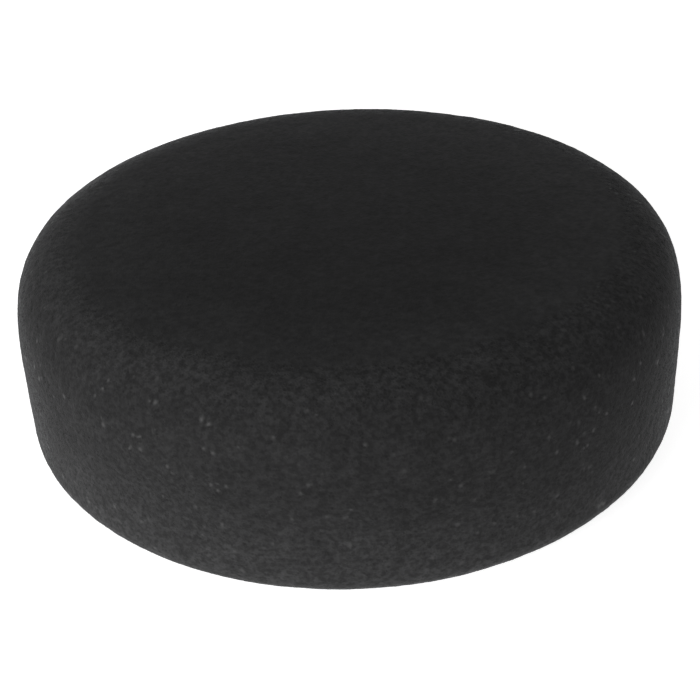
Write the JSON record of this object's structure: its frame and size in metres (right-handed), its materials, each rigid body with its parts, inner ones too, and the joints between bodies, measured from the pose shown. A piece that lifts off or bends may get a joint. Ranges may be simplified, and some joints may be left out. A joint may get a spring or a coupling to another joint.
{
  "type": "polishing pad",
  "caption": "Round black foam polishing pad with a rounded shoulder, flat working face and a hook-and-loop backing disc for a polisher's backing plate.",
  "frame": {"origin": "centre of the loop face, the face that the pad lies on", "axes": "+Z along the pad's axis of rotation, from the loop face to the working face; X and Y are any two radial directions"},
  "size_m": [0.15, 0.15, 0.05],
  "materials": {
    "foam": "matt black open-cell polyurethane foam",
    "adhesive": "smoky translucent hot-melt film",
    "loop_fabric": "knitted nylon loop pile"
  },
  "bodies": {
    "root": {"foam_pad": "foam", "adhesive_film": "adhesive", "loop_backing": "loop_fabric"}
  },
  "joints": []
}
